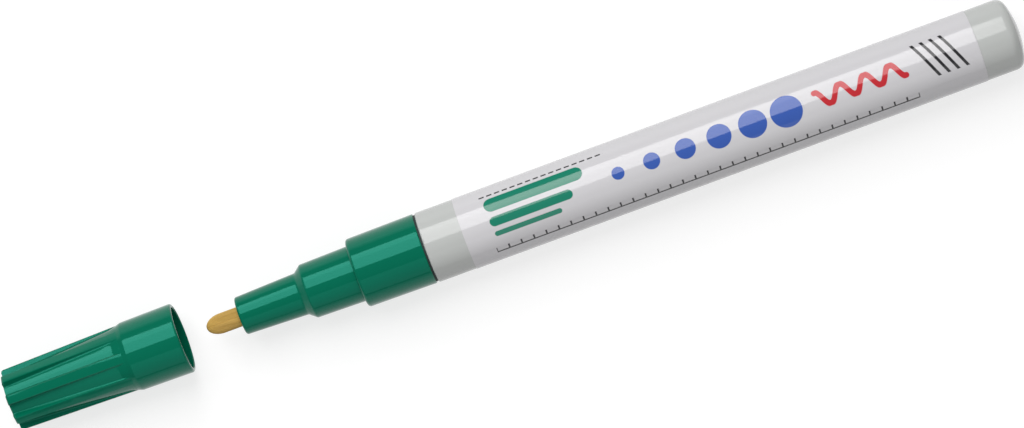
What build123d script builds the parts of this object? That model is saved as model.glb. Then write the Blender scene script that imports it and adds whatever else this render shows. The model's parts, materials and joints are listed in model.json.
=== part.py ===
from build123d import *
import os
from math import cos, degrees, pi, radians, sin, sqrt, tau

# A paint marker lying on its side with its cap pulled off and left in line with it.
# X runs along the marker, nib end at -X, and Z is up. The origin is on the surface it lies on,
# below the middle of its whole length. All sizes are in millimetres.

# Barrel: drawn metal tube with a domed closed end
barrel_diameter = 11.2
barrel_length = 95.75
barrel_wall = 0.4
barrel_corner_radius = 1.5
barrel_crown_rise = 0.7
barrel_rim_rounding = 0.25

# Label: printed film wrapped round the barrel, with its seam on the underside
label_length = 82.7
label_setback = 6.1
label_thickness = 0.06
label_glue = 0.01
label_seam = 0.5
label_seam_angle = 215.0

# Gasket between the holder's collar and the barrel's rim
gasket_thickness = 0.3
gasket_recess = 0.25

# Holder: collar, neck, cone and sleeve, each with the draft of its mould, and the plug in the barrel
collar_length = 11.1
collar_draft = 0.12
collar_edge_rounding = 0.5
collar_rear_rounding = 0.15
shoulder_height = 1.03
neck_length = 7.85
neck_draft = 0.15
neck_edge_rounding = 0.45
cone_length = 1.15
cone_height = 0.95
sleeve_length = 9.95
sleeve_draft = 0.35
sleeve_edge_rounding = 0.35
sleeve_mouth_rounding = 0.12
plug_length = 8.0
plug_wall = 0.9
plug_clearance = 0.03
plug_edge_rounding = 0.3
shoulder_web = 1.5
nib_land_length = 6.0
paint_gap = 0.6

# Nib: fibre rod with a bullet nose
nib_diameter = 3.1
nib_length = 22.5
nib_exposed = 5.5
nib_nose_length = 2.5
nib_rear_rounding = 0.3
nib_clearance = 0.05

# Valve: seat, stem, spring and the retainer that closes the seat's rear end
valve_seat_length = 15.0
valve_seat_wall = 1.2
valve_fit = 0.03
orifice_length = 1.1
orifice_gap = 0.4
seat_cone_height = 1.1
seat_gap = 0.05
stem_pin_diameter = 1.8
stem_head_length = 1.2
stem_head_inset = 0.1
stem_rod_diameter = 2.2
stem_guide_engagement = 0.6
stem_guide_clearance = 0.06
retainer_thickness = 1.5
retainer_ledge = 0.4
flow_hole_diameter = 0.9
flow_hole_count = 6
spring_wire = 0.4
spring_turns = 7
spring_rod_gap = 0.3
spring_end_gap = 0.05

# Mixing ball, loose in the barrel, at rest on the bottom of the bore
ball_diameter = 6.0
ball_clearance = 0.05
ball_setback = 40.0

# Cap: fluted shell with a smooth band at its mouth, and the thin inner cap that seals the nib
cap_gap = 3.9
cap_seat_gap = 0.1
cap_mouth_wall = 0.62
cap_mouth_rounding = 0.4
cap_lead_in = 0.15
cap_wall = 1.17
cap_front_wall = 0.35
cap_band_draft = 0.1
cap_step_setback = 0.02
cap_step_length = 0.72
cap_step_rounding = 0.4
cap_step_land = 0.05
cap_end_thickness = 2.05
cap_end_rounding = 0.45
cap_neck_gap = 0.5
cap_grip_clearance = 0.05
cap_grip_setback = 1.6
cap_grip_length = 1.4
flute_count = 8
flute_rear_depth = 0.22
flute_front_depth = 1.0
flute_rear_width = 2.4
flute_front_width = 1.5
flute_run_out = 1.15
flute_floor_rounding = 0.2
flute_wall_angle = 63.0
rib_chamfer = 0.1
rib_chamfer_angle = 25.0
rib_angle = 2.4
seal_wall = 0.3
seal_end_wall = 0.6
seal_flange = 0.6
seal_flange_height = 0.7
seal_clearance = 0.15
seal_fit = 0.04
nib_tip_room = 1.0

# Radii, worked out from the barrel towards the nib
barrel_radius = barrel_diameter / 2
bore_radius = barrel_radius - barrel_wall
label_inner_radius = barrel_radius + label_glue
label_outer_radius = label_inner_radius + label_thickness
collar_front_radius = barrel_radius - collar_draft
neck_rear_radius = collar_front_radius - shoulder_height
neck_front_radius = neck_rear_radius - neck_draft
sleeve_rear_radius = neck_front_radius - cone_height
sleeve_front_radius = sleeve_rear_radius - sleeve_draft
plug_radius = bore_radius - plug_clearance
nib_radius = nib_diameter / 2
nib_bore_radius = nib_radius + nib_clearance
chamber_radius = nib_radius + paint_gap
valve_bore_radius = plug_radius - plug_wall
valve_seat_radius = valve_bore_radius - valve_fit
valve_chamber_radius = valve_seat_radius - valve_seat_wall
retainer_bore_radius = valve_chamber_radius + retainer_ledge
stem_pin_radius = stem_pin_diameter / 2
stem_rod_radius = stem_rod_diameter / 2
stem_tip_rounding = stem_rod_radius / 3
orifice_radius = stem_pin_radius + orifice_gap
seat_mouth_radius = orifice_radius + seat_cone_height
stem_head_radius = seat_mouth_radius - stem_head_inset
spring_radius = stem_rod_radius + spring_rod_gap + spring_wire / 2
ball_radius = ball_diameter / 2
cap_bore_radius = neck_rear_radius + cap_neck_gap
cap_grip_radius = neck_rear_radius + cap_grip_clearance
cap_mouth_radius = cap_bore_radius + cap_mouth_wall
cap_band_radius = cap_mouth_radius - cap_band_draft
seal_rear_radius = sleeve_rear_radius + seal_clearance
seal_front_radius = sleeve_front_radius + seal_clearance
cap_cavity_rear_radius = seal_rear_radius + seal_wall + seal_fit
cap_cavity_front_radius = seal_front_radius + seal_wall + seal_fit
seal_flange_radius = seal_rear_radius + seal_wall + seal_flange_height
flute_rear_radius = cap_cavity_rear_radius + cap_wall
flute_front_radius = cap_cavity_front_radius + cap_front_wall
rib_rear_radius = flute_rear_radius + flute_rear_depth
rib_front_radius = flute_front_radius + flute_front_depth

# Stations along the axis, counted from the collar's front shoulder, rear end positive
shoulder = 0.0
collar_rear = shoulder + collar_length
plug_rear = collar_rear + plug_length
barrel_front = collar_rear + gasket_thickness
barrel_rear = barrel_front + barrel_length
dome_start = barrel_rear - barrel_crown_rise - barrel_corner_radius
label_front = barrel_front + label_setback
label_rear = label_front + label_length
neck_front = shoulder - neck_length
cone_front = neck_front - cone_length
sleeve_front = cone_front - sleeve_length
nib_tip = sleeve_front - nib_exposed
nib_rear = nib_tip + nib_length
nib_land_rear = sleeve_front + nib_land_length
valve_stop = shoulder + shoulder_web
orifice_rear = valve_stop + orifice_length
seat_mouth = orifice_rear + seat_cone_height
valve_rear = valve_stop + valve_seat_length
retainer_front = valve_rear - retainer_thickness
head_front = orifice_rear + seat_gap + stem_head_radius - orifice_radius
head_rear = head_front + stem_head_length
rod_rear = retainer_front + stem_guide_engagement
ball_station = barrel_rear - ball_setback
cap_mouth = nib_tip - cap_gap

# Depths inside the cap, counted from its mouth; a pushed-on cap stops just short of the shoulder
seated_neck_depth = neck_length - cap_seat_gap
seated_cone_depth = seated_neck_depth + cone_length
seated_sleeve_depth = seated_cone_depth + sleeve_length
seated_nib_depth = seated_sleeve_depth + nib_exposed
cap_bore_depth = seated_cone_depth + cap_seat_gap
seal_front_depth = cap_bore_depth - seal_flange
seal_room_depth = seated_nib_depth + nib_tip_room
seal_end_depth = seal_room_depth + seal_end_wall
cap_cavity_depth = seal_end_depth + seal_fit
cap_length = cap_cavity_depth + cap_end_thickness
band_end_depth = seal_front_depth - cap_step_setback
step_front_depth = band_end_depth + cap_step_length
flute_start_depth = step_front_depth + cap_step_land
flute_floor_depth = flute_start_depth + flute_run_out
grip_start_depth = cap_grip_setback
grip_end_depth = grip_start_depth + cap_grip_length
grip_lead = cap_bore_radius - cap_grip_radius

# Where the axis lies in the part's own frame
cap_end = cap_mouth - cap_length
middle_station = (cap_end + barrel_rear) / 2
axis_height = max(label_outer_radius, cap_mouth_radius, rib_rear_radius)


def turned(corners, arc=360):
    """Turn a closed outline of (station, radius, rounding) corners about the axis."""
    points = [(station, radius) for station, radius, rounding in corners]
    roundings = [rounding for station, radius, rounding in corners]
    outline = make_face(FilletPolyline(*points, radius=roundings, close=True))
    return revolve(outline, Axis.X, arc)


def in_cap(corners):
    """Change corners given by depth inside the cap into corners given by station."""
    return [(cap_mouth - depth, radius, rounding) for depth, radius, rounding in corners]


def domed_bar(radius, corner_radius, rim_rounding):
    """A round bar from the barrel's rim to its rear dome: a rounded corner, then a shallow crown."""
    dome_depth = corner_radius + barrel_crown_rise
    corner_centre = Vector(dome_start, radius - corner_radius)
    reach = dome_depth**2 + corner_centre.Y**2 - corner_radius**2
    crown_radius = reach / (2 * barrel_crown_rise)
    apex = Vector(dome_start + dome_depth, 0)
    crown_centre = apex - Vector(crown_radius, 0)
    tangent_point = crown_centre + (corner_centre - crown_centre).normalized() * crown_radius
    side = FilletPolyline(
        apex,
        (barrel_front, 0),
        (barrel_front, radius),
        (dome_start, radius),
        radius=[0, rim_rounding],
    )
    corner = TangentArc((dome_start, radius), tangent_point, tangent=(1, 0))
    crown = TangentArc(tangent_point, apex, tangent=corner % 1)
    return revolve(make_face([*side.edges(), corner, crown]), Axis.X)


def barrel_tube():
    outside = domed_bar(barrel_radius, barrel_corner_radius, min(barrel_rim_rounding, barrel_wall))
    inside = domed_bar(bore_radius, barrel_corner_radius - barrel_wall, 0)
    return outside - inside


def label_film():
    seam_turn = degrees(label_seam / label_outer_radius)
    film = turned(
        [
            (label_front, label_inner_radius, 0),
            (label_rear, label_inner_radius, 0),
            (label_rear, label_outer_radius, 0),
            (label_front, label_outer_radius, 0),
        ],
        360 - seam_turn,
    )
    return Rot(X=label_seam_angle + seam_turn / 2) * film


def barrel_gasket():
    return turned(
        [
            (collar_rear, plug_radius + plug_clearance, 0),
            (barrel_front, plug_radius + plug_clearance, 0),
            (barrel_front, barrel_radius - gasket_recess, 0),
            (collar_rear, barrel_radius - gasket_recess, 0),
        ]
    )


def front_holder():
    return turned(
        [
            (sleeve_front, nib_bore_radius, sleeve_mouth_rounding),
            (sleeve_front, sleeve_front_radius, sleeve_edge_rounding),
            (cone_front, sleeve_rear_radius, neck_edge_rounding),
            (neck_front, neck_front_radius, neck_edge_rounding),
            (shoulder, neck_rear_radius, 0),
            (shoulder, collar_front_radius, collar_edge_rounding),
            (collar_rear, barrel_radius, collar_rear_rounding),
            (collar_rear, plug_radius, 0),
            (plug_rear, plug_radius, plug_edge_rounding),
            (plug_rear, valve_bore_radius, 0),
            (valve_stop, valve_bore_radius, 0),
            (valve_stop, chamber_radius, 0),
            (nib_land_rear, chamber_radius, 0),
            (nib_land_rear, nib_bore_radius, 0),
        ]
    )


def nib():
    nose_rear = nib_tip + nib_nose_length
    nose = EllipticalCenterArc((nose_rear, 0), nib_nose_length, nib_radius, 90, arc_size=90)
    body = FilletPolyline(
        (nose_rear, nib_radius),
        (nib_rear, nib_radius),
        (nib_rear, 0),
        (nib_tip, 0),
        radius=[nib_rear_rounding, 0],
    )
    return revolve(make_face([nose, *body.edges()]), Axis.X)


def valve_seat():
    return turned(
        [
            (valve_stop, orifice_radius, 0),
            (valve_stop, valve_seat_radius, 0),
            (valve_rear, valve_seat_radius, 0),
            (valve_rear, retainer_bore_radius, 0),
            (retainer_front, retainer_bore_radius, 0),
            (retainer_front, valve_chamber_radius, 0),
            (seat_mouth, valve_chamber_radius, 0),
            (seat_mouth, seat_mouth_radius, 0),
            (orifice_rear, orifice_radius, 0),
        ]
    )


def valve_stem():
    cone_tip = head_front - (stem_head_radius - stem_pin_radius)
    return turned(
        [
            (nib_rear, 0, 0),
            (nib_rear, stem_pin_radius, 0),
            (cone_tip, stem_pin_radius, 0),
            (head_front, stem_head_radius, 0),
            (head_rear, stem_head_radius, 0),
            (head_rear, stem_rod_radius, 0),
            (rod_rear, stem_rod_radius, stem_tip_rounding),
            (rod_rear, 0, 0),
        ]
    )


def spring_retainer():
    guide_radius = stem_rod_radius + stem_guide_clearance
    disc = turned(
        [
            (retainer_front, guide_radius, 0),
            (retainer_front, retainer_bore_radius - valve_fit, 0),
            (valve_rear, retainer_bore_radius - valve_fit, 0),
            (valve_rear, guide_radius, 0),
        ]
    )
    spring_outer_radius = spring_radius + spring_wire / 2
    hole_circle = (spring_outer_radius + valve_chamber_radius) / 2
    hole = Cylinder(flow_hole_diameter / 2, retainer_thickness * 2)
    middle = (retainer_front + valve_rear) / 2
    for index in range(flow_hole_count):
        turn = Rot(X=360 * index / flow_hole_count)
        disc -= turn * Pos(middle, 0, hole_circle) * Rot(Y=90) * hole
    return disc


def biarc(start, start_way, end, end_way):
    """Two arcs that leave start along start_way and reach end along end_way."""
    chord = end - start
    ways = start_way + end_way
    closing = 2 * (1 - start_way.dot(end_way))
    along = chord.dot(ways)
    reach = (sqrt(along * along + closing * chord.dot(chord)) - along) / closing
    start_corner = start + start_way * reach
    end_corner = end - end_way * reach
    joint = (start_corner + end_corner) / 2
    first = Edge.make_tangent_arc(start, start_way, joint)
    second = Edge.make_tangent_arc(joint, end_corner - start_corner, end)
    return [first, second]


def valve_spring():
    coil_front = head_rear + spring_end_gap + spring_wire / 2
    coil_rear = retainer_front - spring_end_gap - spring_wire / 2
    pitch = (coil_rear - coil_front) / spring_turns
    arcs_per_turn = 4
    samples_per_turn = 24

    def point(turn):
        angle = tau * turn
        return Vector(coil_front + pitch * turn, spring_radius * cos(angle), spring_radius * sin(angle))

    def way(turn):
        angle = tau * turn
        across = tau * spring_radius
        return Vector(pitch, -across * sin(angle), across * cos(angle)).normalized()

    arcs = []
    for index in range(arcs_per_turn * spring_turns):
        start = index / arcs_per_turn
        end = (index + 1) / arcs_per_turn
        arcs += biarc(point(start), way(start), point(end), way(end))
    path = Wire(arcs)
    section = Plane(origin=point(0), z_dir=way(0)) * Circle(spring_wire / 2)
    coil = sweep(section, path=path)

    samples = [point(step / samples_per_turn) for step in range(samples_per_turn * spring_turns + 1)]
    half_turn = samples_per_turn // 2
    gaps = [(a - b).length - spring_wire for i, a in enumerate(samples) for b in samples[i + half_turn :]]
    wanted = path.length * pi * (spring_wire / 2) ** 2
    print(f"valve_spring least gap {min(gaps):.3f} mm, volume {coil.volume:.3f} of {wanted:.3f} mm3")
    return coil


def mixing_ball():
    drop = bore_radius - ball_radius - ball_clearance
    return Pos(ball_station, 0, -drop) * Sphere(ball_radius)


def cap_outline():
    """The cap as a solid plug, before its flutes and its inside are cut."""
    return turned(
        in_cap(
            [
                (0, 0, 0),
                (0, cap_mouth_radius, cap_mouth_rounding),
                (band_end_depth, cap_band_radius, cap_step_rounding),
                (step_front_depth, rib_rear_radius, cap_step_rounding),
                (cap_length, rib_front_radius, cap_end_rounding),
                (cap_length, 0, 0),
            ]
        )
    )


def cap_inside():
    """The hollow of the cap: mouth bore with its grip bead, seat of the seal's flange, seal's cavity."""
    return turned(
        in_cap(
            [
                (0, 0, 0),
                (0, cap_bore_radius + cap_lead_in, 0),
                (cap_lead_in, cap_bore_radius, 0),
                (grip_start_depth, cap_bore_radius, 0),
                (grip_start_depth + grip_lead, cap_grip_radius, 0),
                (grip_end_depth - grip_lead, cap_grip_radius, 0),
                (grip_end_depth, cap_bore_radius, 0),
                (seal_front_depth, cap_bore_radius, 0),
                (seal_front_depth, seal_flange_radius, 0),
                (cap_bore_depth, seal_flange_radius, 0),
                (cap_bore_depth, cap_cavity_rear_radius, 0),
                (seated_sleeve_depth, cap_cavity_front_radius, 0),
                (cap_cavity_depth, cap_cavity_front_radius, 0),
                (cap_cavity_depth, 0, 0),
            ]
        )
    )


def flute_core():
    """What the flutes leave between the ribs: a cone with a ramp up to the band's end."""
    past_end = cap_length + flute_run_out
    slope = (flute_rear_radius - flute_front_radius) / (cap_length - flute_floor_depth)
    return turned(
        in_cap(
            [
                (flute_start_depth, 0, 0),
                (flute_start_depth, rib_rear_radius, 0),
                (flute_floor_depth, flute_rear_radius, 0),
                (past_end, flute_front_radius - slope * flute_run_out, 0),
                (past_end, 0, 0),
            ]
        )
    )


def flute_bar(rear, front, wall_angle):
    """A bar over one flute, between two walls that lean outwards along a rear and a front point."""
    lean = radians(wall_angle)
    to_start = Pos(cap_mouth - flute_start_depth, 0, 0)
    sides = (cap_length - flute_start_depth + flute_run_out, 2 * cap_mouth_radius, 2 * cap_mouth_radius)
    bar = to_start * Box(*sides, align=(Align.MAX, Align.CENTER, Align.MIN))
    for side in (1, -1):
        foot = Vector(rear.X, side * rear.Y, rear.Z)
        run = Vector(front.X, side * front.Y, front.Z) - foot
        up_wall = Vector(0, side * cos(lean), sin(lean))
        wall = Plane(origin=foot, z_dir=up_wall.cross(run) * side)
        bar = split(bar, bisect_by=wall, keep=Keep.TOP)
    return bar - flute_core()


def below_rib_edge(foot, rib_radius):
    """The point on a flute's wall where the chamfer of the rib's edge starts."""
    lean = radians(flute_wall_angle)
    along = foot.Y * cos(lean) + foot.Z * sin(lean)
    rise = sqrt(along**2 + rib_radius**2 - foot.Y**2 - foot.Z**2) - along - rib_chamfer
    return foot + Vector(0, cos(lean), sin(lean)) * rise


def flute_cutter():
    """What one flute takes off the cap's top: the channel and a chamfer along each of its ribs."""
    rear = Vector(cap_mouth - flute_floor_depth, flute_rear_width / 2, flute_rear_radius)
    front = Vector(cap_end, flute_front_width / 2, flute_front_radius)
    channel = flute_bar(rear, front, flute_wall_angle)
    long_edges = [edge for edge in channel.edges() if edge.length > cap_length / 2]
    floor_edges = ShapeList(long_edges).sort_by(Axis.Z)[:2]
    rib_rear = below_rib_edge(rear, rib_rear_radius)
    rib_front = below_rib_edge(front, rib_front_radius)
    chamfer_bar = flute_bar(rib_rear, rib_front, rib_chamfer_angle)
    return fillet(floor_edges, flute_floor_rounding) + chamfer_bar


def cap_shell():
    shell = cap_outline()
    cutter = flute_cutter()
    flute_step = 360 / flute_count
    for index in range(flute_count):
        shell -= Rot(X=-rib_angle - flute_step * (index + 0.5)) * cutter
    return shell - cap_inside()


def cap_inner_seal():
    cone_slope = cone_height / cone_length
    lip_radius = seal_rear_radius + cone_slope * (seated_cone_depth - seal_front_depth)
    return turned(
        in_cap(
            [
                (seal_front_depth, lip_radius, 0),
                (seal_front_depth, seal_flange_radius - seal_fit, 0),
                (cap_bore_depth, seal_flange_radius - seal_fit, 0),
                (cap_bore_depth, seal_rear_radius + seal_wall, 0),
                (seated_sleeve_depth, seal_front_radius + seal_wall, 0),
                (seal_end_depth, seal_front_radius + seal_wall, 0),
                (seal_end_depth, 0, 0),
                (seal_room_depth, 0, 0),
                (seal_room_depth, seal_front_radius, 0),
                (seated_sleeve_depth, seal_front_radius, 0),
                (seated_cone_depth, seal_rear_radius, 0),
            ]
        )
    )


pieces = {
    "barrel_tube": barrel_tube,
    "label_film": label_film,
    "barrel_gasket": barrel_gasket,
    "front_holder": front_holder,
    "nib": nib,
    "valve_seat": valve_seat,
    "valve_stem": valve_stem,
    "valve_spring": valve_spring,
    "spring_retainer": spring_retainer,
    "mixing_ball": mixing_ball,
    "cap_shell": cap_shell,
    "cap_inner_seal": cap_inner_seal,
}

os.makedirs("parts", exist_ok=True)
to_frame = Pos(-middle_station, 0, axis_height)
for name, make in pieces.items():
    export_step(to_frame * make(), f"parts/{name}.step")
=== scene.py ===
import json
from math import atan2, cos, pi, radians, sin, tan, tau

import bmesh
import bpy
from bpy.props import FloatProperty, FloatVectorProperty, IntProperty, PointerProperty
from mathutils import Matrix, Vector


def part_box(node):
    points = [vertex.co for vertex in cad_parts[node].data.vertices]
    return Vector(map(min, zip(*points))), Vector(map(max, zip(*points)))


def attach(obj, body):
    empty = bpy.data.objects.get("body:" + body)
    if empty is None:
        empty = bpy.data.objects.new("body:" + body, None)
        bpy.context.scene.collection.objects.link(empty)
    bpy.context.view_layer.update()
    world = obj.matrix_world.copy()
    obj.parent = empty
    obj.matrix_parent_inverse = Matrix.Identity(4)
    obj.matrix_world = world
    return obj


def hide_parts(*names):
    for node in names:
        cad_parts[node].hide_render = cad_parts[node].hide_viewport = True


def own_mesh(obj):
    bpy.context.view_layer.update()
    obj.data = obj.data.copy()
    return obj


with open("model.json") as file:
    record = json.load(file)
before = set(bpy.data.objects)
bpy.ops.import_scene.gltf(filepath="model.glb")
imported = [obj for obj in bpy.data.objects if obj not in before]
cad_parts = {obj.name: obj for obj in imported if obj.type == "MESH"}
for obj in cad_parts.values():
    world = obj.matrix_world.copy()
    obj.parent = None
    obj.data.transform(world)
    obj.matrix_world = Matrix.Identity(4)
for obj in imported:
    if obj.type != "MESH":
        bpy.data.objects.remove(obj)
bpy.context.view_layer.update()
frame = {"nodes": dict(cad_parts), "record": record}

bl_info = {
    "name": "Paint Marker",
    "version": (1, 0, 0),
    "blender": (4, 5, 0),
    "location": "3D View > Sidebar > Marker",
    "description": "Dresses the packed paint marker with its nib, label, spring, finishes and stage",
    "category": "Object",
}

MM = 0.001

# Fineness of the modelling
SMOOTH_ANGLE = radians(35)
MERGE_DISTANCE = 0.001 * MM
WIRE_MERGE_DISTANCE = 0.002 * MM
SAME_STATION = 0.0001 * MM
FLOOR_SIDES = 96
FILM_STRETCHES = 16
FILM_EDGE_SEGMENTS = 2
NIB_STRETCHES = 8
NOSE_ARCS = 14
REAR_ARCS = 4

# Rows of grooves in the nib, whose depths add up where they meet.
# Each row has the count of points from one groove to the next, and its depth in groove sizes.
GROOVE_ROWS = ((2, 1.0), (6, 0.6), (10, 0.8))

# Pitch of the spring's closed end turns, in wire diameters
CLOSED_TURN_PITCH = 1.06

# Camera: sensor width in millimetres, and the nearest and farthest things that it sees
SENSOR_WIDTH = 36
CLIP_START = 0.01
CLIP_END = 50

# Half the width of the soft edge of the label's print, in millimetres
INK_EDGE = 0.06


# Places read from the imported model

def span(node):
    """Front and rear station of a node along the marker."""
    low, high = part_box(node)
    return low.x, high.x


def reach(node):
    """Outer radius of a node about its own axis."""
    low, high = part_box(node)
    return (high.y - low.y) / 2


LABEL_FRONT, LABEL_REAR = span("label_film")
NIB_TIP, NIB_REAR = span("nib")
SPRING_FRONT, SPRING_REAR = span("valve_spring")
AXIS_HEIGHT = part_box("label_film")[1].z / 2
LABEL_RADIUS = reach("label_film")
NIB_RADIUS = reach("nib")
SPRING_RADIUS = reach("valve_spring")
SLOT_COLOURS = {entry["slot"]: entry["base_color"] for entry in frame["record"]["materials"]}


def on_axis(station):
    return station, 0, AXIS_HEIGHT


# Colours, sizes and stage settings that a user would change

def colour_prop(name, description, default):
    return FloatVectorProperty(
        name=name, description=description, subtype="COLOR", size=3, min=0, max=1, default=default
    )


def length_prop(name, description, default):
    return FloatProperty(
        name=name, description=description, subtype="DISTANCE", unit="LENGTH", precision=5, default=default
    )


def angle_prop(name, description, default):
    return FloatProperty(
        name=name, description=description, subtype="ANGLE", unit="ROTATION", default=radians(default)
    )


def number_prop(name, description, default):
    return FloatProperty(name=name, description=description, default=default)


def count_prop(name, description, default, least):
    return IntProperty(name=name, description=description, default=default, min=least)


class MarkerColours(bpy.types.PropertyGroup):
    """Colours of the marker's finishes."""

    green: colour_prop("Green", "Moulded cap and nib holder", SLOT_COLOURS["green_moulding"])
    green_tint: colour_prop("Green gloss", "Tint of the green moulding's gloss", (0.17, 1.0, 0.82))
    lacquer: colour_prop("Lacquer", "Painted metal barrel", SLOT_COLOURS["barrel_grey"])
    film: colour_prop("Film", "Unprinted label film", SLOT_COLOURS["label_white"])
    rubber: colour_prop("Rubber", "Gasket between holder and barrel", SLOT_COLOURS["gasket_black"])
    fibre: colour_prop("Fibre", "Pressed fibre of the nib", SLOT_COLOURS["nib_fibre"])
    # Darker fibre colour: painted shade of the grooves between fibres, together with the fibre's own grain
    fibre_dark: colour_prop("Fibre grooves", "Shaded grooves between the nib's fibres", (0.46, 0.28, 0.055))
    natural: colour_prop("Natural plastic", "Valve pieces", SLOT_COLOURS["valve_plastic"])
    seal: colour_prop("Seal plastic", "Inner cap that seals the nib", SLOT_COLOURS["seal_plastic"])
    wire: colour_prop("Wire", "Spring wire", SLOT_COLOURS["spring_steel"])
    ball: colour_prop("Ball", "Mixing ball", SLOT_COLOURS["ball_steel"])
    ink_green: colour_prop("Green ink", "Stroke samples on the label", (0.004, 0.21, 0.13))
    ink_blue: colour_prop("Blue ink", "Dots on the label", (0.035, 0.10, 0.42))
    ink_red: colour_prop("Red ink", "Wave on the label", (0.55, 0.02, 0.03))
    ink_black: colour_prop("Black ink", "Scale, hatching and dashes on the label", (0.015, 0.015, 0.018))


class MarkerSizes(bpy.types.PropertyGroup):
    """Sizes of the pieces that are modelled here."""

    nib_sides: count_prop("Nib sides", "Points round the nib", 120, 24)
    nib_nose: length_prop("Nib nose", "Length of the nib's rounded nose", 2.5 * MM)
    nib_rounding: length_prop("Nib rear rounding", "Rounding of the nib's rear edge", 0.3 * MM)
    groove: length_prop("Fibre groove", "Least depth of a groove between the nib's fibres", 0.035 * MM)
    film: length_prop("Film thickness", "Thickness of the label film", 0.06 * MM)
    film_edge: length_prop("Film edge", "Rounding of the label film's edges", 0.018 * MM)
    film_sides: count_prop("Film sides", "Points round the label film", 216, 48)
    film_hem: length_prop("Film hem", "Width of the last ring of faces at each end of the film", 0.12 * MM)
    seam: length_prop("Seam", "Gap between the two ends of the label film", 0.5 * MM)
    seam_turn: angle_prop("Seam turn", "Turn of the seam from the top of the marker", -125)
    wire: length_prop("Wire", "Diameter of the spring wire", 0.4 * MM)
    wire_sides: count_prop("Wire sides", "Points round the spring wire", 14, 6)
    turns: count_prop("Turns", "Open turns of the spring", 6, 2)
    turn_steps: count_prop("Turn steps", "Steps in each turn of the spring", 40, 12)


class MarkerStage(bpy.types.PropertyGroup):
    """Camera, lamps and floor."""

    lens: FloatProperty(name="Lens", description="Focal length in millimetres", unit="CAMERA", default=138.5)
    camera_height: length_prop("Camera height", "Height of the camera above the marker", 0.6)
    camera_station: length_prop("Camera station", "Place of the camera along the marker", 0.02)
    aim_station: length_prop("Aim station", "Place along the marker at the picture's middle", 0.0)
    aim_side: length_prop("Aim side", "Place across the marker at the picture's middle", 0.00034)
    tilt: angle_prop("Tilt", "Rise of the marker in the picture", 20.19)
    key_low: angle_prop("Key lower edge", "Lower edge of the key lamp, from straight above", 13)
    key_split: angle_prop("Key split", "Where the key lamp's brighter upper part begins", 44)
    key_high: angle_prop("Key upper edge", "Upper edge of the key lamp", 61.2)
    key_radiance: number_prop("Key", "Brightness of the large soft lamp", 4.1)
    key_lift: number_prop("Key lift", "How much brighter its upper part is", 1.18)
    fill_low: angle_prop("Fill lower edge", "Lower edge of the fill lamp, on the other side", -25)
    fill_high: angle_prop("Fill upper edge", "Upper edge of the fill lamp", -78)
    fill_radiance: number_prop("Fill", "Brightness of the weak lamp opposite", 0.62)
    lamp_distance: length_prop("Lamp distance", "Distance of the lamps from the marker", 0.6)
    lamp_length: length_prop("Lamp length", "Length of the lamps along the marker", 0.42)
    lamp_station: length_prop("Lamp station", "Place of the lamps' middle along the marker", -0.06)
    room_low: number_prop("Room sides", "Brightness of the room near the floor", 0.27)
    room_high: number_prop("Room ceiling", "Brightness of the room overhead", 0.4)
    floor_radius: length_prop("Floor radius", "Distance of the floor's edge from the marker", 6.0)
    backdrop: length_prop("Backdrop", "Height of the backdrop at the floor's far edge", 0.7)
    floor: colour_prop("Floor", "Floor and backdrop", (0.36, 0.36, 0.36))
    floor_glow: number_prop("Floor glow", "White that the floor shows of itself", 0.7)


# Modelling helpers

def begin_ring(name, place, radius, sides, rotation=(0, pi / 2, 0)):
    """Add an open ring, across the axis unless turned, and enter edit mode with all of it selected."""
    bpy.ops.object.select_all(action="DESELECT")
    bpy.ops.mesh.primitive_circle_add(
        vertices=sides, radius=radius, fill_type="NOTHING", location=place, rotation=rotation
    )
    piece = bpy.context.active_object
    piece.name = name
    piece.data.name = name
    bpy.ops.object.transform_apply(location=True, rotation=True, scale=True)
    bpy.ops.object.mode_set(mode="EDIT")
    bpy.ops.mesh.select_mode(type="VERT")
    bpy.ops.mesh.select_all(action="SELECT")
    return piece


def extrude_to(shift, scale=1.0):
    """Extrude the selected ring along the axis and scale the new ring about the axis."""
    bpy.ops.mesh.extrude_region_move(TRANSFORM_OT_translate={"value": (shift, 0, 0)})
    if scale != 1.0:
        scale_ring(scale)


def scale_ring(scale):
    """Scale the selected ring about the marker's axis."""
    bpy.ops.transform.resize(value=(1, scale, scale), center_override=on_axis(0))


def turn_of(point):
    """Angle of a point round the axis, from the top towards +Y."""
    return atan2(point.y, point.z - AXIS_HEIGHT)


def quarter_arcs(count):
    """The start and end angle of each arc when a quarter turn is divided evenly."""
    angles = [step / count * pi / 2 for step in range(count + 1)]
    return list(zip(angles, angles[1:]))


def select_points(piece, test):
    """Select the points of the piece in edit mode whose place passes the test."""
    bpy.ops.mesh.select_all(action="DESELECT")
    mesh = bmesh.from_edit_mesh(piece.data)
    for vertex in mesh.verts:
        vertex.select_set(test(vertex.co))
    mesh.select_flush(True)
    bmesh.update_edit_mesh(piece.data)


def select_faces(piece, test):
    """Select the faces of the piece in edit mode whose middle passes the test."""
    bpy.ops.mesh.select_mode(type="FACE")
    bpy.ops.mesh.select_all(action="DESELECT")
    mesh = bmesh.from_edit_mesh(piece.data)
    for face in mesh.faces:
        face.select_set(test(face.calc_center_median()))
    bmesh.update_edit_mesh(piece.data)


def close_mesh():
    """Merge doubles, point every face outwards and go back to object mode."""
    bpy.ops.mesh.select_all(action="SELECT")
    bpy.ops.mesh.remove_doubles(threshold=MERGE_DISTANCE)
    bpy.ops.mesh.normals_make_consistent(inside=False)
    bpy.ops.object.mode_set(mode="OBJECT")


def apply_modifier(piece, name, kind, **settings):
    """Add a modifier to the active piece with its settings, and apply it."""
    modifier = piece.modifiers.new(name, kind)
    for setting, value in settings.items():
        setattr(modifier, setting, value)
    bpy.ops.object.modifier_apply(modifier=modifier.name)


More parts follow.
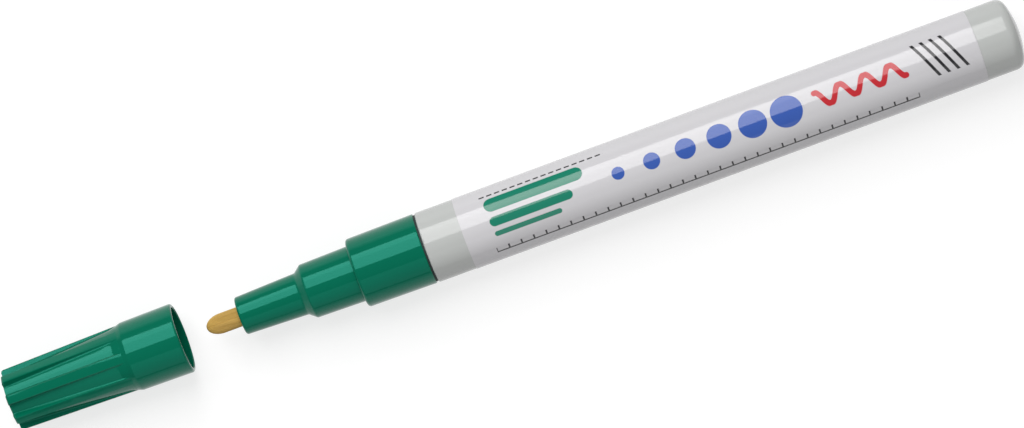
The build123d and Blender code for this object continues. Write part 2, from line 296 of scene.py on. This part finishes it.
def finish_piece(piece, body, node, material):
    """Give a new piece its shading, finish and body, and hide the imported node that it stands for."""
    bpy.ops.object.select_all(action="DESELECT")
    piece.select_set(True)
    bpy.context.view_layer.objects.active = piece
    bpy.ops.object.shade_smooth_by_angle(angle=SMOOTH_ANGLE)
    piece.data.materials.clear()
    piece.data.materials.append(material)
    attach(piece, body)
    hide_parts(node)


def paint_node(node, material):
    """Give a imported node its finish."""
    for slot in frame["nodes"][node].material_slots:
        slot.material = material


# Shader helpers

def new_material(name):
    """A new material, its node tree and its bare Principled shader."""
    material = bpy.data.materials.new(name)
    material.use_nodes = True
    return material, material.node_tree, material.node_tree.nodes["Principled BSDF"]


def plug(tree, socket, value):
    """Link a socket, or set it to a plain value."""
    if isinstance(value, bpy.types.NodeSocket):
        tree.links.new(value, socket)
    elif value is not None:
        socket.default_value = value


def feed(tree, node, **values):
    """Link or set inputs of a node, named with an underscore for each space."""
    for name, value in values.items():
        plug(tree, node.inputs[name.replace("_", " ")], value)


def maths(tree, operation, first, second=None, third=None):
    node = tree.nodes.new("ShaderNodeMath")
    node.operation = operation
    for socket, value in zip(node.inputs, (first, second, third)):
        plug(tree, socket, value)
    return node.outputs[0]


def remap(tree, value, low, high, to_low=0.0, to_high=1.0):
    """Spread a value from one range smoothly over another."""
    node = tree.nodes.new("ShaderNodeMapRange")
    node.interpolation_type = "SMOOTHSTEP"
    feed(tree, node, Value=value, From_Min=low, From_Max=high, To_Min=to_low, To_Max=to_high)
    return node.outputs["Result"]


def mix_colours(tree, factor, first, second):
    node = tree.nodes.new("ShaderNodeMix")
    node.data_type = "RGBA"
    feed(tree, node, Factor=factor)
    for name, value in (("A", first), ("B", second)):
        socket = next(s for s in node.inputs if s.name == name and s.type == "RGBA")
        plug(tree, socket, (*value, 1) if isinstance(value, tuple) else value)
    return next(s for s in node.outputs if s.type == "RGBA")


def noise(tree, place, scale=1.0, detail=2.0, roughness=0.5):
    node = tree.nodes.new("ShaderNodeTexNoise")
    feed(tree, node, Vector=place, Scale=scale, Detail=detail, Roughness=roughness)
    return node.outputs["Fac"]


def bump(tree, shader, height, strength, distance):
    node = tree.nodes.new("ShaderNodeBump")
    feed(tree, node, Strength=strength, Distance=distance, Height=height)
    feed(tree, shader, Normal=node.outputs["Normal"])


def object_place(tree):
    return tree.nodes.new("ShaderNodeTexCoord").outputs["Object"]


def stretched(tree, place, along, across):
    """The place with its scale along the axis and across it changed."""
    node = tree.nodes.new("ShaderNodeMapping")
    feed(tree, node, Vector=place, Scale=(along, across, across))
    return node.outputs["Vector"]


def toned(colour, factor):
    return tuple(min(1.0, channel * factor) for channel in colour)


def place_group(tree, group, **values):
    """Place a shader node group in a material with its own values."""
    node = tree.nodes.new("ShaderNodeGroup")
    node.node_tree = group
    feed(tree, node, **values)
    return node.outputs


def new_group(name, inputs, outputs):
    """A shader node group with its sockets: the tree, its inputs and its outputs."""
    tree = bpy.data.node_groups.new(name, "ShaderNodeTree")
    for label, default in inputs:
        socket = tree.interface.new_socket(label, in_out="INPUT", socket_type="NodeSocketFloat")
        socket.default_value = default
    for label in outputs:
        kind = "NodeSocketVector" if label == "Place" else "NodeSocketFloat"
        tree.interface.new_socket(label, in_out="OUTPUT", socket_type=kind)
    return tree, tree.nodes.new("NodeGroupInput").outputs, tree.nodes.new("NodeGroupOutput").inputs


def built_once(build):
    """Let a node group be built at its first use and found again, by its builder's name, after that."""

    def find_or_build():
        return bpy.data.node_groups.get(build.__name__) or build()

    return find_or_build


# Node groups that several finishes share

@built_once
def axis_places():
    """Group: place along and round the marker's axis, in millimetres."""
    tree, given, made = new_group(
        "axis_places", [("Start", 0.0), ("Radius", LABEL_RADIUS / MM)], ["Place", "Station", "Arc"]
    )
    place = object_place(tree)
    split = tree.nodes.new("ShaderNodeSeparateXYZ")
    feed(tree, split, Vector=place)
    station = maths(tree, "SUBTRACT", maths(tree, "MULTIPLY", split.outputs["X"], 1 / MM), given["Start"])
    height = maths(tree, "SUBTRACT", split.outputs["Z"], AXIS_HEIGHT)
    arc = maths(tree, "MULTIPLY", maths(tree, "ARCTAN2", split.outputs["Y"], height), given["Radius"])
    plug(tree, made["Place"], place)
    plug(tree, made["Station"], station)
    plug(tree, made["Arc"], arc)
    return tree


@built_once
def moulded_skin():
    """Group: faint colour drift and orange-peel ripple of a glossy moulding or lacquer."""
    tree, given, made = new_group("moulded_skin", [("Ripple", 1.0)], ["Tone", "Height"])
    place = object_place(tree)
    flow = noise(tree, stretched(tree, place, along=60.0, across=220.0), detail=3.0)
    ripple = noise(tree, place, scale=900.0)
    plug(tree, made["Tone"], flow)
    plug(tree, made["Height"], maths(tree, "MULTIPLY", ripple, given["Ripple"]))
    return tree


@built_once
def handling_marks():
    """Group: smudges and hairline scuffs of a thing that is held in the hand."""
    tree, given, made = new_group("handling_marks", [("Amount", 1.0)], ["Marks"])
    place = object_place(tree)
    smudges = remap(tree, noise(tree, place, scale=140.0, detail=4.0, roughness=0.6), low=0.5, high=0.75)
    hairs = remap(tree, noise(tree, stretched(tree, place, along=120.0, across=2600.0)), low=0.62, high=0.74)
    smudge_share, hair_share = 0.7, 0.3
    faint = maths(tree, "MULTIPLY", hairs, hair_share)
    both = maths(tree, "MULTIPLY_ADD", smudges, smudge_share, faint)
    plug(tree, made["Marks"], maths(tree, "MULTIPLY", both, given["Amount"]))
    return tree


# Finishes

def gloss_finish(name, colour, tone, roughness, marked, ripple):
    """A glossy skin: colour drift, handling marks in its gloss and a faint ripple."""
    material, tree, shader = new_material(name)
    skin = place_group(tree, moulded_skin(), Ripple=ripple)
    marks = place_group(tree, handling_marks(), Amount=1.0)["Marks"]
    drift = mix_colours(tree, skin["Tone"], toned(colour, 1 - tone), toned(colour, 1 + tone))
    gloss = remap(tree, marks, low=0.0, high=1.0, to_low=roughness, to_high=marked)
    feed(tree, shader, Base_Color=drift, Roughness=gloss)
    bump(tree, shader, skin["Height"], strength=0.12, distance=0.01 * MM)
    return material, tree, shader


def green_moulding(colours):
    material, tree, shader = gloss_finish(
        "green_gloss_moulding", colours.green, tone=0.05, roughness=0.07, marked=0.16, ripple=1.0
    )
    feed(tree, shader, Specular_Tint=(*colours.green_tint, 1), IOR=1.43)
    return material


def barrel_lacquer(colours):
    material, tree, shader = gloss_finish(
        "barrel_grey_lacquer", colours.lacquer, tone=0.02, roughness=0.10, marked=0.2, ripple=0.8
    )
    feed(tree, shader, Specular_IOR_Level=0.45)
    return material


def natural_plastic(name, colour):
    material, tree, shader = gloss_finish(name, colour, tone=0.04, roughness=0.32, marked=0.45, ripple=1.0)
    feed(tree, shader, Subsurface_Weight=0.15, Subsurface_Radius=(0.6 * MM, 0.6 * MM, 0.5 * MM))
    return material


def gasket_rubber(colours):
    material, tree, shader = new_material("gasket_matt_rubber")
    places = place_group(tree, axis_places())
    grain = noise(tree, places["Place"], scale=4000.0, detail=3.0)
    colour = mix_colours(tree, grain, toned(colours.rubber, 0.6), toned(colours.rubber, 1.5))
    matt = remap(tree, grain, low=0.3, high=0.7, to_low=0.65, to_high=0.85)
    feed(tree, shader, Base_Color=colour, Roughness=matt)
    bump(tree, shader, grain, strength=0.3, distance=0.02 * MM)
    return material


def nib_fibre(colours):
    material, tree, shader = new_material("nib_pressed_fibre")
    places = place_group(tree, axis_places(), Start=NIB_TIP / MM, Radius=NIB_RADIUS / MM)
    fine = stretched(tree, places["Place"], along=260.0, across=5200.0)
    strands = noise(tree, fine, detail=3.0, roughness=0.6)
    clumps = noise(tree, stretched(tree, places["Place"], along=180.0, across=1500.0))
    clump_share, strand_share = 0.6, 0.4
    both = maths(tree, "MULTIPLY_ADD", clumps, clump_share, maths(tree, "MULTIPLY", strands, strand_share))
    # Lengthwise streaks blend the fibre colour with the darker colour: fibre grain plus painted groove shade
    streaks = remap(tree, both, low=0.36, high=0.58)
    body = mix_colours(tree, streaks, tuple(colours.fibre_dark), tuple(colours.fibre))
    # Lighter towards the tip, fading out over the first 3 mm from it
    lighter_towards_tip = remap(tree, places["Station"], low=0.0, high=3.0, to_low=0.7, to_high=0.0)
    colour = mix_colours(tree, lighter_towards_tip, body, toned(colours.fibre, 1.05))
    matt = remap(tree, strands, low=0.3, high=0.7, to_low=0.62, to_high=0.8)
    feed(tree, shader, Base_Color=colour, Roughness=matt)
    bump(tree, shader, strands, strength=0.5, distance=0.03 * MM)
    return material


def drawn_steel(name, colour, smooth, rough, scratch_scale):
    material, tree, shader = new_material(name)
    places = place_group(tree, axis_places())
    lines = noise(tree, places["Place"], scale=scratch_scale, detail=4.0, roughness=0.6)
    tone = mix_colours(tree, lines, toned(colour, 0.85), toned(colour, 1.1))
    gloss = remap(tree, lines, low=0.3, high=0.7, to_low=smooth, to_high=rough)
    feed(tree, shader, Base_Color=tone, Roughness=gloss, Metallic=1.0)
    bump(tree, shader, lines, strength=0.1, distance=0.01 * MM)
    return material


def floor_white(stage):
    """Floor and backdrop: matt white that shows some white of itself, and keeps the shadow."""
    material, tree, shader = new_material("studio_white")
    grain = noise(tree, object_place(tree), scale=40.0)
    colour = mix_colours(tree, grain, toned(stage.floor, 0.995), toned(stage.floor, 1.005))
    path = tree.nodes.new("ShaderNodeLightPath").outputs
    seen = maths(tree, "MAXIMUM", path["Is Camera Ray"], path["Is Glossy Ray"])
    seen = maths(tree, "MAXIMUM", seen, path["Is Transmission Ray"])
    glow = maths(tree, "MULTIPLY", seen, stage.floor_glow)
    feed(tree, shader, Base_Color=colour, Roughness=0.9, Specular_IOR_Level=0.0)
    feed(tree, shader, Emission_Color=(1, 1, 1, 1), Emission_Strength=glow)
    return material


# The label's print: a plain pattern of strokes, dots, a wave, a scale, hatching and dashes.
# Its sizes are in millimetres: a station runs from the label's front end, an arc from the top of the marker.

def inked(tree, distance):
    """Mask of what lies inside a shape, from the distance to its edge."""
    return remap(tree, distance, low=-INK_EDGE, high=INK_EDGE, to_low=1.0, to_high=0.0)


def within(tree, value, low, high):
    """Mask of a value that lies between two limits."""
    middle, half = (low + high) / 2, (high - low) / 2
    offset = maths(tree, "ABSOLUTE", maths(tree, "SUBTRACT", value, middle))
    return inked(tree, maths(tree, "SUBTRACT", offset, half))


def either(tree, masks):
    total = masks[0]
    for mask in masks[1:]:
        total = maths(tree, "MAXIMUM", total, mask)
    return total


def stroke(tree, station, arc, start, end, height, half_width):
    """Mask of a round-ended stroke along the label."""
    middle, half = (start + end) / 2, (end - start) / 2
    offset = maths(tree, "ABSOLUTE", maths(tree, "SUBTRACT", station, middle))
    past_end = maths(tree, "MAXIMUM", maths(tree, "SUBTRACT", offset, half), 0.0)
    aside = maths(tree, "SUBTRACT", arc, height)
    squared = maths(tree, "MULTIPLY_ADD", past_end, past_end, maths(tree, "MULTIPLY", aside, aside))
    return inked(tree, maths(tree, "SUBTRACT", maths(tree, "SQRT", squared), half_width))


def dot_row(tree, station, arc, start, pitch, count, height, first, growth):
    """Mask of a row of dots whose radius grows from one to the next."""
    along = maths(tree, "DIVIDE", maths(tree, "SUBTRACT", station, start), pitch)
    index = maths(tree, "FLOOR", along)
    off_middle = maths(tree, "SUBTRACT", maths(tree, "SUBTRACT", along, index), 0.5)
    aside = maths(tree, "MULTIPLY", off_middle, pitch)
    up = maths(tree, "SUBTRACT", arc, height)
    squared = maths(tree, "MULTIPLY_ADD", aside, aside, maths(tree, "MULTIPLY", up, up))
    radius = maths(tree, "MULTIPLY_ADD", index, growth, first)
    dots = inked(tree, maths(tree, "SUBTRACT", maths(tree, "SQRT", squared), radius))
    return maths(tree, "MULTIPLY", dots, within(tree, station, start, start + pitch * count))


def wave(tree, station, arc, start, end, height, swing, length, half_width):
    """Mask of a wavy stroke along the label, even in width, from a crest to a crest or trough."""
    turns = maths(tree, "MULTIPLY", maths(tree, "SUBTRACT", station, start), tau / length)
    line = maths(tree, "MULTIPLY_ADD", maths(tree, "COSINE", turns), swing, height)
    slope = maths(tree, "MULTIPLY", maths(tree, "SINE", turns), swing * tau / length)
    steep = maths(tree, "SQRT", maths(tree, "MULTIPLY_ADD", slope, slope, 1.0))
    aside = maths(tree, "DIVIDE", maths(tree, "ABSOLUTE", maths(tree, "SUBTRACT", arc, line)), steep)
    body = inked(tree, maths(tree, "SUBTRACT", aside, half_width))
    last = height + swing * cos(tau * (end - start) / length)
    ends = [
        stroke(tree, station, arc, place, place, level, half_width)
        for place, level in ((start, height + swing), (end, last))
    ]
    return either(tree, [maths(tree, "MULTIPLY", body, within(tree, station, start, end)), *ends])


def tick_scale(tree, station, arc, start, end, height, pitch, width, rise):
    """Mask of a ruled line with ticks that stand up from it."""
    line = within(tree, arc, height - width / 2, height + width / 2)
    phase = maths(tree, "WRAP", station, pitch / 2, -pitch / 2)
    standing = within(tree, arc, height, height + rise)
    ticks = maths(tree, "MULTIPLY", within(tree, phase, -width / 2, width / 2), standing)
    return maths(tree, "MULTIPLY", either(tree, [line, ticks]), within(tree, station, start, end))


def hatching(tree, station, arc, start, count, low, high, pitch, width, slant):
    """Mask of a row of slanted strokes between two heights."""
    leaning = maths(tree, "MULTIPLY_ADD", arc, slant, maths(tree, "SUBTRACT", station, start))
    phase = maths(tree, "WRAP", leaning, pitch, 0.0)
    strokes = within(tree, phase, (pitch - width) / 2, (pitch + width) / 2)
    row = maths(tree, "MULTIPLY", within(tree, leaning, 0.0, pitch * count), within(tree, arc, low, high))
    return maths(tree, "MULTIPLY", strokes, row)


def dashes(tree, station, arc, start, end, height, pitch, length, width):
    """Mask of a dashed line along the label."""
    phase = maths(tree, "WRAP", maths(tree, "SUBTRACT", station, start), pitch, 0.0)
    line = maths(tree, "MULTIPLY", within(tree, phase, 0.0, length), within(tree, station, start, end))
    return maths(tree, "MULTIPLY", line, within(tree, arc, height - width / 2, height + width / 2))


def label_print(colours):
    material, tree, shader = gloss_finish(
        "label_printed_film", colours.film, tone=0.012, roughness=0.08, marked=0.17, ripple=0.7
    )
    places = place_group(tree, axis_places(), Start=LABEL_FRONT / MM, Radius=LABEL_RADIUS / MM)
    ground = tree, places["Station"], places["Arc"]
    green = [
        stroke(*ground, start=5.5, end=19.0, height=2.9, half_width=1.15),
        stroke(*ground, start=5.2, end=17.0, height=0.2, half_width=0.75),
        stroke(*ground, start=5.0, end=15.0, height=-1.7, half_width=0.4),
    ]
    blue = [dot_row(*ground, start=22.5, pitch=5.4, count=6, height=0.6, first=1.0, growth=0.3)]
    red = [wave(*ground, start=57.0, end=71.0, height=0.6, swing=1.1, length=4.0, half_width=0.45)]
    black = [
        tick_scale(*ground, start=4.0, end=72.0, height=-4.9, pitch=2.0, width=0.26, rise=0.9),
        hatching(*ground, start=74.0, count=4, low=-2.4, high=3.6, pitch=1.5, width=0.5, slant=0.45),
        dashes(*ground, start=4.0, end=24.0, height=4.75, pitch=1.25, length=0.85, width=0.3),
    ]
    inks = (
        (colours.ink_green, green),
        (colours.ink_blue, blue),
        (colours.ink_red, red),
        (colours.ink_black, black),
    )
    base = shader.inputs["Base Color"].links[0].from_socket
    for ink, masks in inks:
        base = mix_colours(tree, either(tree, masks), base, tuple(ink))
    feed(tree, shader, Base_Color=base, Specular_IOR_Level=0.48)
    return material


# Operators: one for each piece or group of like pieces, and one for the stage

class MARKER_OT_stage(bpy.types.Operator):
    """Lay the floor, hang the lamps and set the camera above the marker"""

    bl_idname = "marker.stage"
    bl_label = "Stage"

    def execute(self, context):
        stage = context.scene.marker_stage
        self.lay_floor(stage)
        self.hang_lamps(context, stage)
        self.light_room(context, stage)
        self.set_camera(context, stage)
        context.scene.view_settings.view_transform = "Standard"
        return {"FINISHED"}

    def lay_floor(self, stage):
        bpy.ops.object.select_all(action="DESELECT")
        bpy.ops.mesh.primitive_circle_add(
            vertices=FLOOR_SIDES, radius=stage.floor_radius, fill_type="NGON", location=(0, 0, 0)
        )
        floor = bpy.context.active_object
        floor.name = "studio_floor"
        bpy.ops.object.mode_set(mode="EDIT")
        bpy.ops.mesh.select_all(action="SELECT")
        bpy.ops.mesh.select_mode(type="EDGE")
        bpy.ops.mesh.region_to_loop()
        bpy.ops.mesh.extrude_edges_move(TRANSFORM_OT_translate={"value": (0, 0, stage.backdrop)})
        bpy.ops.object.mode_set(mode="OBJECT")
        floor.data.materials.append(floor_white(stage))

    def hang_lamp(self, context, stage, name, start, end, radiance):
        """A soft rectangular lamp beside the marker that faces it, between two angles from straight above."""
        angle = (start + end) / 2
        width = 2 * stage.lamp_distance * tan(abs(end - start) / 2)
        lamp = bpy.data.lights.new(name, "AREA")
        lamp.shape = "RECTANGLE"
        lamp.size = stage.lamp_length
        lamp.size_y = width
        lamp.energy = radiance * pi * width * stage.lamp_length
        hung = bpy.data.objects.new(name, lamp)
        context.scene.collection.objects.link(hung)
        across, up = stage.lamp_distance * sin(angle), stage.lamp_distance * cos(angle)
        hung.location = (stage.lamp_station, across, AXIS_HEIGHT + up)
        hung.rotation_euler = (-angle, 0, 0)
        hung.visible_camera = False

    def hang_lamps(self, context, stage):
        lifted = stage.key_radiance * stage.key_lift
        self.hang_lamp(context, stage, "key_lamp", stage.key_low, stage.key_split, stage.key_radiance)
        self.hang_lamp(context, stage, "key_lamp_upper", stage.key_split, stage.key_high, lifted)
        self.hang_lamp(context, stage, "fill_lamp", stage.fill_low, stage.fill_high, stage.fill_radiance)

    def light_room(self, context, stage):
        """A pale room round the stage that is brighter overhead."""
        world = bpy.data.worlds.new("studio_room")
        world.use_nodes = True
        tree = world.node_tree
        split = tree.nodes.new("ShaderNodeSeparateXYZ")
        feed(tree, split, Vector=tree.nodes.new("ShaderNodeTexCoord").outputs["Generated"])
        overhead = remap(
            tree, split.outputs["Z"], low=0.0, high=1.0, to_low=stage.room_low, to_high=stage.room_high
        )
        feed(tree, tree.nodes["Background"], Color=(1, 1, 1, 1), Strength=overhead)
        context.scene.world = world

    def set_camera(self, context, stage):
        lens = bpy.data.cameras.new("photo_camera")
        lens.sensor_fit = "HORIZONTAL"
        lens.sensor_width = SENSOR_WIDTH
        lens.lens = stage.lens
        lens.clip_start = CLIP_START
        lens.clip_end = CLIP_END
        camera = bpy.data.objects.new("photo_camera", lens)
        context.scene.collection.objects.link(camera)
        aim = Vector((stage.aim_station, stage.aim_side, AXIS_HEIGHT))
        eye = Vector((stage.camera_station, stage.aim_side, AXIS_HEIGHT + stage.camera_height))
        back = (eye - aim).normalized()
        right = Vector((cos(stage.tilt), -sin(stage.tilt), 0))
        right = (right - back * right.dot(back)).normalized()
        turn = Matrix((right, back.cross(right), back)).transposed()
        camera.matrix_world = Matrix.Translation(eye) @ turn.to_4x4()
        context.scene.camera = camera


class MARKER_OT_barrel(bpy.types.Operator):
    """Finish the lacquered metal barrel and the gasket at its rim"""

    bl_idname = "marker.barrel"
    bl_label = "Barrel and gasket"

    def execute(self, context):
        colours = context.scene.marker_colours
        paint_node("barrel_tube", barrel_lacquer(colours))
        paint_node("barrel_gasket", gasket_rubber(colours))
        return {"FINISHED"}


class MARKER_OT_mouldings(bpy.types.Operator):
    """Finish the green nib holder and cap"""

    bl_idname = "marker.mouldings"
    bl_label = "Holder and cap"

    def execute(self, context):
        green = green_moulding(context.scene.marker_colours)
        for node in ("front_holder", "cap_shell"):
            paint_node(node, green)
        return {"FINISHED"}


class MARKER_OT_label(bpy.types.Operator):
    """Model the printed film label with its seam"""

    bl_idname = "marker.label"
    bl_label = "Label film"

    def execute(self, context):
        sizes = context.scene.marker_sizes
        inner = LABEL_RADIUS - sizes.film
        film = begin_ring("label_wrap", on_axis(LABEL_FRONT), inner, sizes.film_sides)
        stretch = (LABEL_REAR - LABEL_FRONT - 2 * sizes.film_hem) / FILM_STRETCHES
        for length in (sizes.film_hem, *[stretch] * FILM_STRETCHES, sizes.film_hem):
            extrude_to(length)
        half_seam = sizes.seam / 2 / LABEL_RADIUS

        def in_seam(middle):
            off = (turn_of(middle) - sizes.seam_turn + pi) % tau - pi
            return abs(off) < half_seam

        select_faces(film, in_seam)
        bpy.ops.mesh.delete(type="FACE")
        close_mesh()
        apply_modifier(film, "thickness", "SOLIDIFY", thickness=sizes.film, offset=1)
        apply_modifier(
            film, "edge", "BEVEL", width=sizes.film_edge, segments=FILM_EDGE_SEGMENTS, limit_method="ANGLE"
        )
        finish_piece(film, "barrel", "label_film", label_print(context.scene.marker_colours))
        return {"FINISHED"}


class MARKER_OT_nib(bpy.types.Operator):
    """Model the fibre nib with its fine lengthwise grooves and rounded nose"""

    bl_idname = "marker.nib"
    bl_label = "Fibre nib"

    def execute(self, context):
        sizes = context.scene.marker_sizes
        nose_start = NIB_TIP + sizes.nib_nose
        rear_start = NIB_REAR - sizes.nib_rounding
        nib = begin_ring("fibre_nib", on_axis(rear_start), NIB_RADIUS, sizes.nib_sides)
        self.groove_ring(nib, sizes)
        for _ in range(NIB_STRETCHES):
            extrude_to((nose_start - rear_start) / NIB_STRETCHES)
        self.round_nose(sizes.nib_nose)
        self.round_rear(nib, rear_start, sizes.nib_rounding)
        close_mesh()
        finish_piece(nib, "nib", "nib", nib_fibre(context.scene.marker_colours))
        return {"FINISHED"}

    def groove_ring(self, nib, sizes):
        """Set points of the first ring inwards, some farther than others, and select the whole ring again."""
        step_turn = tau / sizes.nib_sides
        for every, share in GROOVE_ROWS:
            select_points(nib, lambda point: round(turn_of(point) / step_turn) % every == 1)
            scale_ring(1 - sizes.groove * share / NIB_RADIUS)
        bpy.ops.mesh.select_all(action="SELECT")

    def round_nose(self, length):
        """Extrude the selected ring to the nib's tip along a quarter of an ellipse."""
        arcs = quarter_arcs(NOSE_ARCS)
        for before, now in arcs[:-1]:
            extrude_to(-length * (sin(now) - sin(before)), cos(now) / cos(before))
        extrude_to(-length * (1 - sin(arcs[-1][0])))
        bpy.ops.mesh.merge(type="CENTER")

    def round_rear(self, nib, station, rounding):
        """Extrude the first ring over the rounded rear edge and close the rear end."""

        def radius_at(turn):
            return NIB_RADIUS - rounding * (1 - cos(turn))

        select_points(nib, lambda point: abs(point.x - station) < SAME_STATION)
        for before, now in quarter_arcs(REAR_ARCS):
            extrude_to(rounding * (sin(now) - sin(before)), radius_at(now) / radius_at(before))
        bpy.ops.mesh.edge_face_add()


class MARKER_OT_spring(bpy.types.Operator):
    """Wind the valve's return spring with a closed turn at each end"""

    bl_idname = "marker.spring"
    bl_label = "Return spring"

    def execute(self, context):
        sizes = context.scene.marker_sizes
        wire_radius = sizes.wire / 2
        start, end = SPRING_FRONT + wire_radius, SPRING_REAR - wire_radius
        closed_pitch = sizes.wire * CLOSED_TURN_PITCH
        open_pitch = (end - start - 2 * closed_pitch) / sizes.turns
        coils = []
        for turns, pitch in ((1, closed_pitch), (sizes.turns, open_pitch), (1, closed_pitch)):
            coils.append(self.wind(f"spring_stretch_{len(coils)}", sizes, start, turns, pitch))
            start += turns * pitch
        spring = self.join(coils)
        colour = context.scene.marker_colours.wire
        steel = drawn_steel("spring_drawn_wire", colour, smooth=0.22, rough=0.38, scratch_scale=3000.0)
        finish_piece(spring, "barrel", "valve_spring", steel)
        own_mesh(spring)
        return {"FINISHED"}

    def wind(self, name, sizes, start, turns, pitch):
        """Wind a stretch of even pitch about the X axis of the scene."""
        wire_radius = sizes.wire / 2
        place = (start, 0, SPRING_RADIUS - wire_radius)
        coil = begin_ring(name, place, wire_radius, sizes.wire_sides, rotation=(pi / 2, 0, 0))
        bpy.ops.object.mode_set(mode="OBJECT")
        apply_modifier(
            coil,
            "wind",
            "SCREW",
            axis="X",
            screw_offset=pitch,
            iterations=turns,
            steps=sizes.turn_steps,
            render_steps=sizes.turn_steps,
        )
        return coil

    def join(self, coils):
        """Join the stretches to one wire, lift it to the marker's axis and close its two ends."""
        bpy.ops.object.select_all(action="DESELECT")
        for coil in coils:
            coil.select_set(True)
        spring = coils[0]
        bpy.context.view_layer.objects.active = spring
        bpy.ops.object.join()
        spring.name = "return_spring"
        spring.data.name = "return_spring"
        bpy.ops.object.mode_set(mode="EDIT")
        bpy.ops.mesh.select_all(action="SELECT")
        bpy.ops.mesh.remove_doubles(threshold=WIRE_MERGE_DISTANCE)
        bpy.ops.transform.translate(value=(0, 0, AXIS_HEIGHT))
        bpy.ops.mesh.select_all(action="DESELECT")
        bpy.ops.mesh.select_non_manifold()
        bpy.ops.mesh.edge_face_add()
        close_mesh()
        return spring


class MARKER_OT_valve(bpy.types.Operator):
    """Finish the natural plastic of the valve and of the cap's inner seal"""

    bl_idname = "marker.valve"
    bl_label = "Valve and seal"

    def execute(self, context):
        colours = context.scene.marker_colours
        valve = natural_plastic("valve_natural_plastic", colours.natural)
        for node in ("valve_seat", "valve_stem", "spring_retainer"):
            paint_node(node, valve)
        paint_node("cap_inner_seal", natural_plastic("seal_natural_plastic", colours.seal))
        return {"FINISHED"}


class MARKER_OT_ball(bpy.types.Operator):
    """Finish the polished mixing ball"""

    bl_idname = "marker.ball"
    bl_label = "Mixing ball"

    def execute(self, context):
        colour = context.scene.marker_colours.ball
        steel = drawn_steel("ball_polished_steel", colour, smooth=0.06, rough=0.16, scratch_scale=900.0)
        paint_node("mixing_ball", steel)
        return {"FINISHED"}


OPERATORS = (
    MARKER_OT_stage,
    MARKER_OT_barrel,
    MARKER_OT_mouldings,
    MARKER_OT_label,
    MARKER_OT_nib,
    MARKER_OT_spring,
    MARKER_OT_valve,
    MARKER_OT_ball,
)


class MARKER_PT_pieces(bpy.types.Panel):
    """The marker's pieces, colours and sizes"""

    bl_idname = "MARKER_PT_pieces"
    bl_label = "Paint Marker"
    bl_space_type = "VIEW_3D"
    bl_region_type = "UI"
    bl_category = "Marker"

    def draw(self, context):
        scene = context.scene
        for operator in OPERATORS:
            self.layout.operator(operator.bl_idname)
        for group in (scene.marker_colours, scene.marker_sizes, scene.marker_stage):
            box = self.layout.box()
            for name in group.__annotations__:
                box.prop(group, name)


CLASSES = (MarkerColours, MarkerSizes, MarkerStage, *OPERATORS, MARKER_PT_pieces)


def register():
    for entry in CLASSES:
        bpy.utils.register_class(entry)
    bpy.types.Scene.marker_colours = PointerProperty(type=MarkerColours)
    bpy.types.Scene.marker_sizes = PointerProperty(type=MarkerSizes)
    bpy.types.Scene.marker_stage = PointerProperty(type=MarkerStage)


def unregister():
    del bpy.types.Scene.marker_stage
    del bpy.types.Scene.marker_sizes
    del bpy.types.Scene.marker_colours
    for entry in reversed(CLASSES):
        bpy.utils.unregister_class(entry)


def main():
    register()
    bpy.ops.marker.stage()
    bpy.ops.marker.barrel()
    bpy.ops.marker.mouldings()
    bpy.ops.marker.label()
    bpy.ops.marker.nib()
    bpy.ops.marker.spring()
    bpy.ops.marker.valve()
    bpy.ops.marker.ball()


if __name__ == "__main__":
    main()
